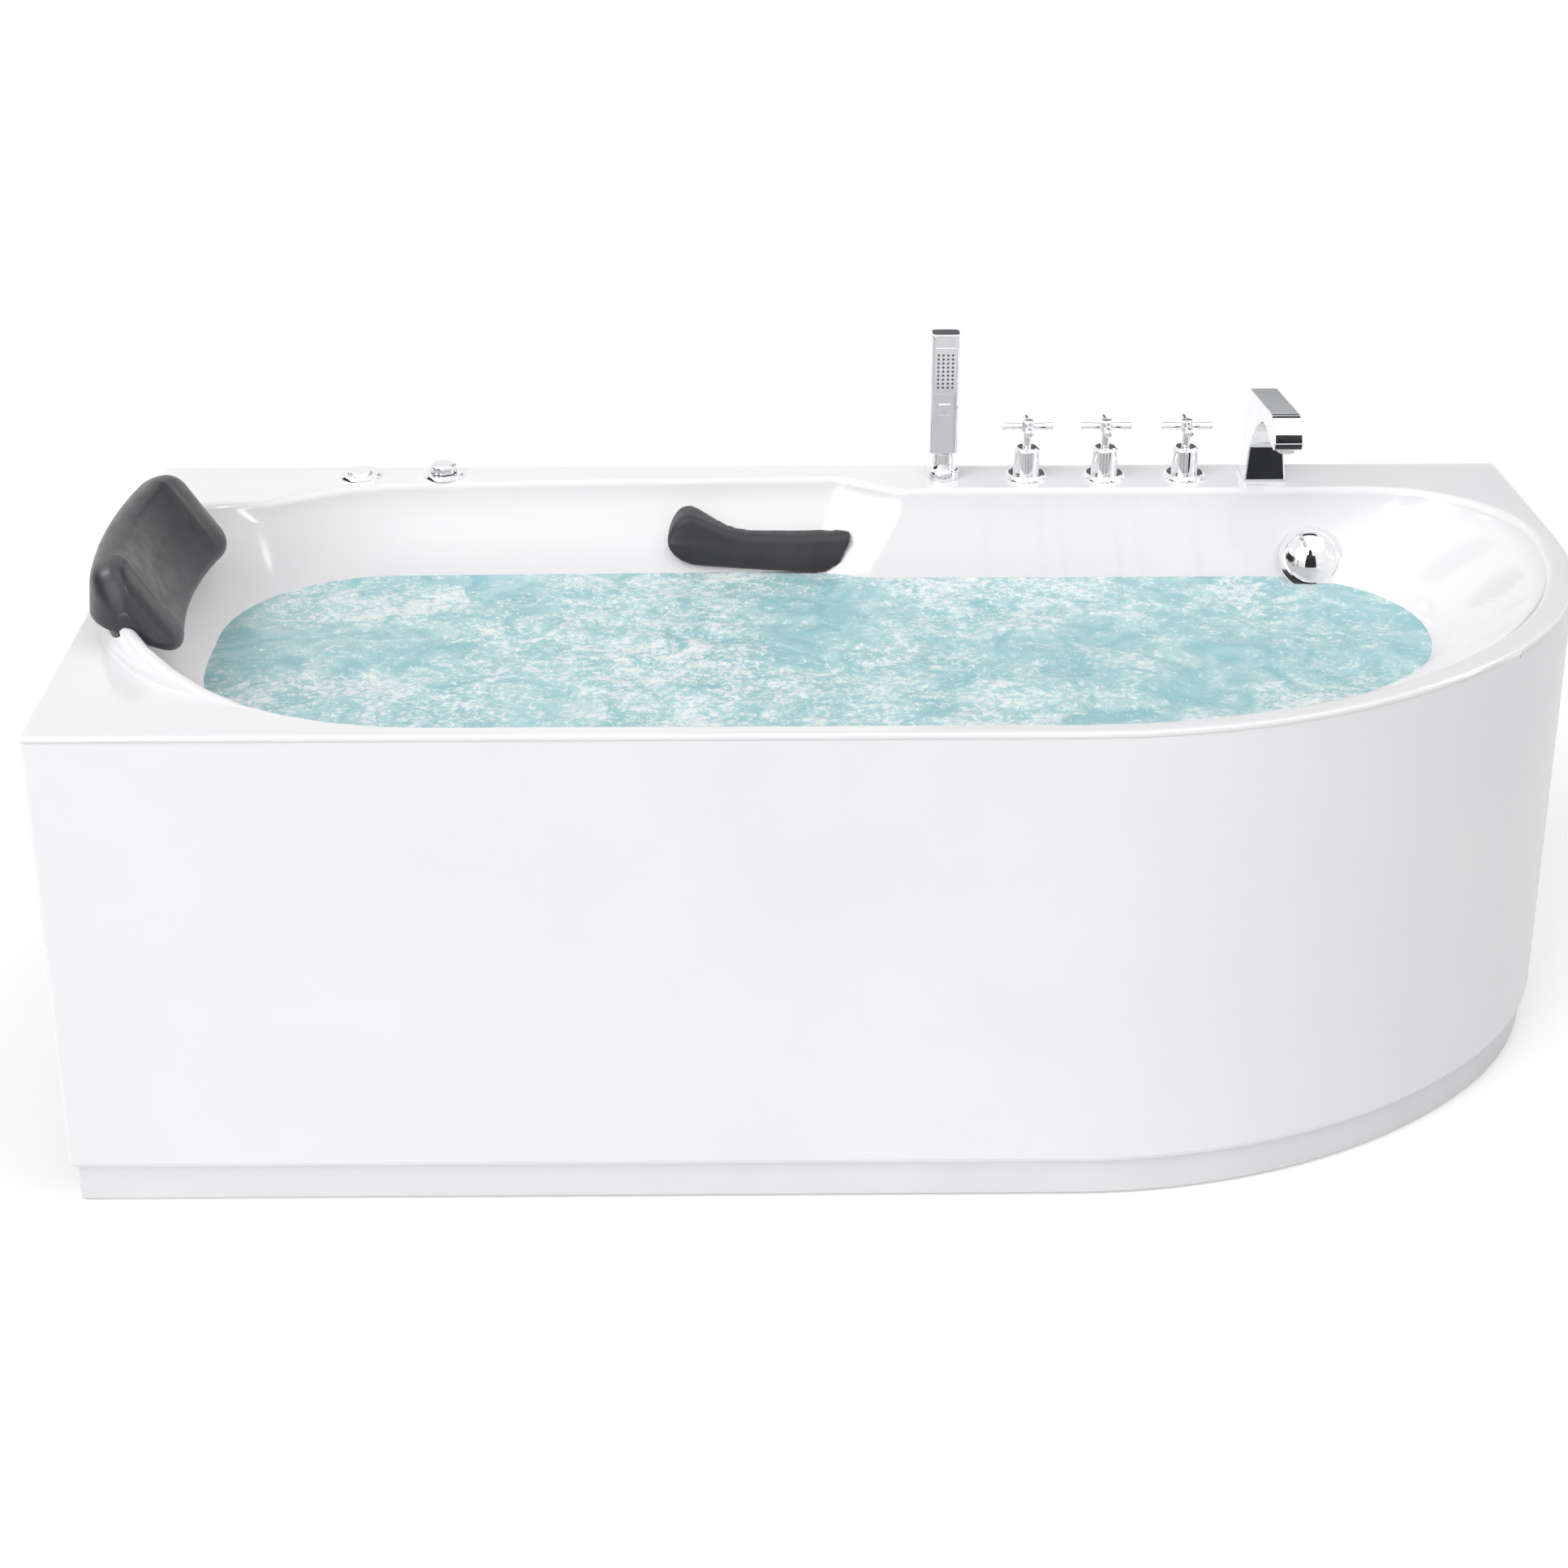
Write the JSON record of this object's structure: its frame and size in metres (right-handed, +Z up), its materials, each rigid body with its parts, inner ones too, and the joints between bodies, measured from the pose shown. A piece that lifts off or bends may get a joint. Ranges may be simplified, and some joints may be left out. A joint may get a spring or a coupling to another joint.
{
  "type": "jetted bathtub",
  "caption": "White built-in jetted bathtub with one rounded foot end, curved apron, dark head pillow and armrest pad, rim-mounted cross-handle mixer, hand shower and spout.",
  "frame": {"origin": "on the floor, under the middle of the tub's length and width", "axes": "+X from the head end to the rounded foot end, +Y to the rear edge with the taps, which stands against a wall, +Z up; the pictured apron faces -Y"},
  "size_m": [1.6997, 0.8, 0.7513],
  "materials": {
    "acrylic_white": "glossy white sanitary acrylic",
    "plinth_white": "satin white plastic",
    "chrome": "polished chrome plate",
    "zinc_steel": "zinc-coated steel",
    "foot_plastic": "black moulded plastic",
    "brass": "plain turned brass",
    "pipe_plastic": "white rigid pipe",
    "air_hose_plastic": "pale soft hose",
    "pillow_skin": "dark grey integral-skin foam with a fine leather grain",
    "armrest_skin": "dark grey integral-skin foam with a fine leather grain",
    "pump_plastic": "black moulded plastic",
    "rotor_steel": "turned steel",
    "waste_plastic": "grey moulded plastic"
  },
  "bodies": {
    "tub": {"tub_shell": "acrylic_white", "front_apron": "acrylic_white", "plinth_strip": "plinth_white", "rail_front": "zinc_steel", "rail_rear": "zinc_steel", "cradle_head": "zinc_steel", "cradle_middle": "zinc_steel", "cradle_foot": "zinc_steel", "foot_lock_nuts": "zinc_steel", "apron_brackets": "zinc_steel", "hot_valve_body": "chrome", "diverter_valve_body": "chrome", "cold_valve_body": "chrome", "tap_flanges": "chrome", "handset_holder": "chrome", "bath_spout": "chrome", "spout_aerator": "waste_plastic", "tap_back_nuts": "brass", "mixer_pipes": "brass", "air_button_housing": "chrome", "air_dial_housing": "chrome", "overflow_rosette": "chrome", "overflow_pipe": "waste_plastic", "drain_flange": "chrome", "waste_trap": "waste_plastic", "popup_cable": "pump_plastic", "jet_bodies": "chrome", "pressure_pipe": "pipe_plastic", "air_pipe": "air_hose_plastic", "suction_cover": "chrome", "suction_elbow": "pipe_plastic", "suction_pipe": "pipe_plastic", "pump_motor": "pump_plastic", "pump_wet_end": "pump_plastic", "pneumatic_tube": "air_hose_plastic", "headrest_pillow": "pillow_skin", "armrest_pad": "armrest_skin"},
    "hot_handle": {"hot_cross_handle": "chrome"},
    "diverter_handle": {"diverter_cross_handle": "chrome"},
    "cold_handle": {"cold_cross_handle": "chrome"},
    "hand_shower": {"handset": "chrome"},
    "handset_key": {"handset_button": "chrome"},
    "air_button": {"air_button": "chrome"},
    "air_dial": {"air_dial_knob": "chrome"},
    "overflow_knob": {"overflow_knob": "chrome"},
    "drain_plug": {"drain_plug": "chrome"},
    "pump_rotor": {"pump_rotor": "rotor_steel"},
    "jet_nozzle_1": {"jet_nozzle_1": "chrome"},
    "jet_nozzle_2": {"jet_nozzle_2": "chrome"},
    "jet_nozzle_3": {"jet_nozzle_3": "chrome"},
    "jet_nozzle_4": {"jet_nozzle_4": "chrome"},
    "jet_nozzle_5": {"jet_nozzle_5": "chrome"},
    "jet_nozzle_6": {"jet_nozzle_6": "chrome"},
    "levelling_foot_1": {"levelling_foot_1": "foot_plastic"},
    "levelling_foot_2": {"levelling_foot_2": "foot_plastic"},
    "levelling_foot_3": {"levelling_foot_3": "foot_plastic"},
    "levelling_foot_4": {"levelling_foot_4": "foot_plastic"},
    "levelling_foot_5": {"levelling_foot_5": "foot_plastic"},
    "levelling_foot_6": {"levelling_foot_6": "foot_plastic"}
  },
  "joints": [
    {"name": "hot_handle_turn", "type": "hinge", "parent": "tub", "child": "hot_handle", "pos_m": [0.236, 0.355, 0.602], "axis": [0, 0, 1], "range_deg": [0, 90]},
    {"name": "diverter_handle_turn", "type": "hinge", "parent": "tub", "child": "diverter_handle", "pos_m": [0.334, 0.355, 0.602], "axis": [0, 0, 1], "range_deg": [0, 90]},
    {"name": "cold_handle_turn", "type": "hinge", "parent": "tub", "child": "cold_handle", "pos_m": [0.435, 0.355, 0.602], "axis": [0, 0, 1], "range_deg": [0, 90]},
    {"name": "handset_lift", "type": "slide", "parent": "tub", "child": "hand_shower", "axis": [0, 0, 1], "range_m": [0, 0.25]},
    {"name": "handset_key_press", "type": "slide", "parent": "hand_shower", "child": "handset_key", "axis": [0, 1, 0], "range_m": [0, 0.0015], "stiffness_N_per_m": 600},
    {"name": "air_button_press", "type": "slide", "parent": "tub", "child": "air_button", "axis": [0, 0, -1], "range_m": [0, 0.003], "stiffness_N_per_m": 1500},
    {"name": "air_dial_turn", "type": "hinge", "parent": "tub", "child": "air_dial", "pos_m": [-0.496, 0.366, 0.567], "axis": [0, 0, 1], "range_deg": [0, 180]},
    {"name": "overflow_knob_turn", "type": "hinge", "parent": "tub", "child": "overflow_knob", "pos_m": [0.583, 0.26321, 0.486], "axis": [0, -0.8258, 0.564], "range_deg": [0, 90]},
    {"name": "drain_plug_lift", "type": "slide", "parent": "tub", "child": "drain_plug", "axis": [0, 0, 1], "range_m": [0, 0.012]},
    {"name": "pump_rotor_spin", "type": "hinge", "parent": "tub", "child": "pump_rotor", "pos_m": [-0.715, 0, 0.193], "axis": [0, 1, 0], "continuous": true},
    {"name": "jet_1_turn", "type": "hinge", "parent": "tub", "child": "jet_nozzle_1", "pos_m": [-0.34, -0.24719, 0.3], "axis": [0, 0.9941, 0.1084], "range_deg": [0, 180]},
    {"name": "jet_2_turn", "type": "hinge", "parent": "tub", "child": "jet_nozzle_2", "pos_m": [-0.115, -0.24719, 0.3], "axis": [0, 0.9941, 0.1084], "range_deg": [0, 180]},
    {"name": "jet_3_turn", "type": "hinge", "parent": "tub", "child": "jet_nozzle_3", "pos_m": [0.11, -0.24719, 0.3], "axis": [0, 0.9941, 0.1084], "range_deg": [0, 180]},
    {"name": "jet_4_turn", "type": "hinge", "parent": "tub", "child": "jet_nozzle_4", "pos_m": [-0.34, 0.24108, 0.3], "axis": [0, -0.9865, 0.1638], "range_deg": [0, 180]},
    {"name": "jet_5_turn", "type": "hinge", "parent": "tub", "child": "jet_nozzle_5", "pos_m": [-0.115, 0.24296, 0.3], "axis": [0, -0.9849, 0.1733], "range_deg": [0, 180]},
    {"name": "jet_6_turn", "type": "hinge", "parent": "tub", "child": "jet_nozzle_6", "pos_m": [0.11, 0.23489, 0.3], "axis": [0, -0.9931, 0.1177], "range_deg": [0, 180]},
    {"name": "foot_1_screw_up", "type": "slide", "parent": "tub", "child": "levelling_foot_1", "axis": [0, 0, 1], "range_m": [0, 0.012]},
    {"name": "foot_2_screw_up", "type": "slide", "parent": "tub", "child": "levelling_foot_2", "axis": [0, 0, 1], "range_m": [0, 0.012]},
    {"name": "foot_3_screw_up", "type": "slide", "parent": "tub", "child": "levelling_foot_3", "axis": [0, 0, 1], "range_m": [0, 0.012]},
    {"name": "foot_4_screw_up", "type": "slide", "parent": "tub", "child": "levelling_foot_4", "axis": [0, 0, 1], "range_m": [0, 0.012]},
    {"name": "foot_5_screw_up", "type": "slide", "parent": "tub", "child": "levelling_foot_5", "axis": [0, 0, 1], "range_m": [0, 0.012]},
    {"name": "foot_6_screw_up", "type": "slide", "parent": "tub", "child": "levelling_foot_6", "axis": [0, 0, 1], "range_m": [0, 0.012]}
  ],
  "couplings": [
    {"joint": "drain_plug_lift", "follows": "overflow_knob_turn", "m_per_rad": 0.007638}
  ]
}
